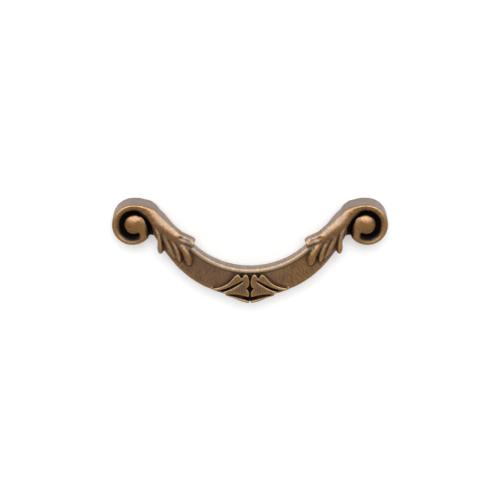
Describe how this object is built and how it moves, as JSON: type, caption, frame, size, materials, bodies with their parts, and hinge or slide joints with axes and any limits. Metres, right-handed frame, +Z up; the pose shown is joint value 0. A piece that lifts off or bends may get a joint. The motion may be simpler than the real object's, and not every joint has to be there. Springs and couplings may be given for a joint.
{
  "type": "cabinet drop pull",
  "caption": "Fixed drop-shaped pull with scrolled ends, acanthus leaves and a palmette on its bar, for a drawer or cabinet door.",
  "frame": {"origin": "midway between the axes of the two screw holes, on the mounting face", "axes": "+X along the row of screw holes, +Y into the drawer front, +Z up"},
  "size_m": [0.1148, 0.0204, 0.0415],
  "materials": {
    "antique_brass": "antiqued, brushed"
  },
  "bodies": {
    "root": {"pull_casting": "antique_brass"}
  },
  "joints": []
}
